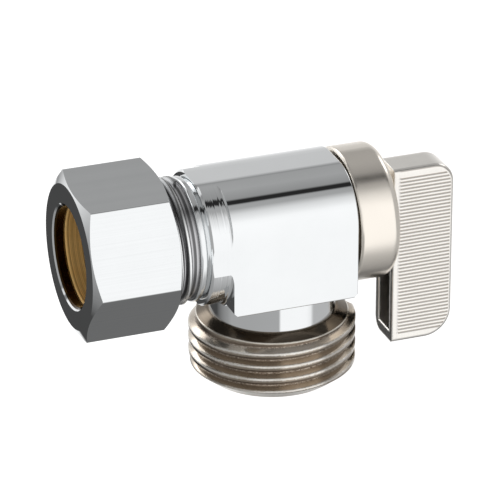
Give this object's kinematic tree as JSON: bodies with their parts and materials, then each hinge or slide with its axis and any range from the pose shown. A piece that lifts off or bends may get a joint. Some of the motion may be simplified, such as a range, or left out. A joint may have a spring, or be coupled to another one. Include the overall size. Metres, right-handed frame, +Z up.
{
  "type": "boiler drain valve",
  "caption": "Quarter-turn angle ball valve with a compression inlet for copper pipe, a male hose thread pointing down and a ribbed paddle handle on a round collar.",
  "frame": {"origin": "centre of the hose outlet's end face, on which the valve stands", "axes": "+X from the inlet to the handle along the pipe's axis, +Z up along the outlet's axis; the picture is taken from the -Y side"},
  "size_m": [0.0636, 0.0272, 0.0377],
  "materials": {
    "chrome": "polished chrome plate on brass",
    "nut_chrome": "polished chrome plate outside, bare brass inside",
    "nickel": "warm nickel plate",
    "handle_nickel": "satin nickel plate on a zinc casting",
    "brass": "turned, unplated",
    "seat_plastic": "smooth",
    "rubber": "matte",
    "steel": "plain steel"
  },
  "bodies": {
    "valve": {"valve_body": "chrome", "hose_nipple": "nickel", "inlet_seat": "seat_plastic", "outlet_seat": "seat_plastic", "inlet_seat_o_ring": "rubber", "outlet_seat_o_ring": "rubber", "bonnet": "nickel", "bonnet_o_ring": "rubber"},
    "handle": {"handle": "handle_nickel", "handle_grub_screw": "steel", "stem": "brass", "stem_thrust_washer": "seat_plastic", "stem_o_ring_inner": "rubber", "stem_o_ring_outer": "rubber", "ball": "chrome"},
    "sleeve": {"compression_sleeve": "brass"},
    "nut": {"compression_nut": "nut_chrome"}
  },
  "joints": [
    {"name": "handle_turn", "type": "hinge", "parent": "valve", "child": "handle", "pos_m": [0, 0, 0.025], "axis": [1, 0, 0], "range_deg": [-90, 0]},
    {"name": "sleeve_slide", "type": "slide", "parent": "valve", "child": "sleeve", "axis": [1, 0, 0], "range_m": [-0.0071, 0.0006]},
    {"name": "nut_turn", "type": "hinge", "parent": "sleeve", "child": "nut", "pos_m": [-0.0265, 0, 0.025], "axis": [1, 0, 0], "range_deg": [-1800, 150]}
  ],
  "couplings": [
    {"joint": "sleeve_slide", "follows": "nut_turn", "m_per_rad": 0.00022457}
  ]
}
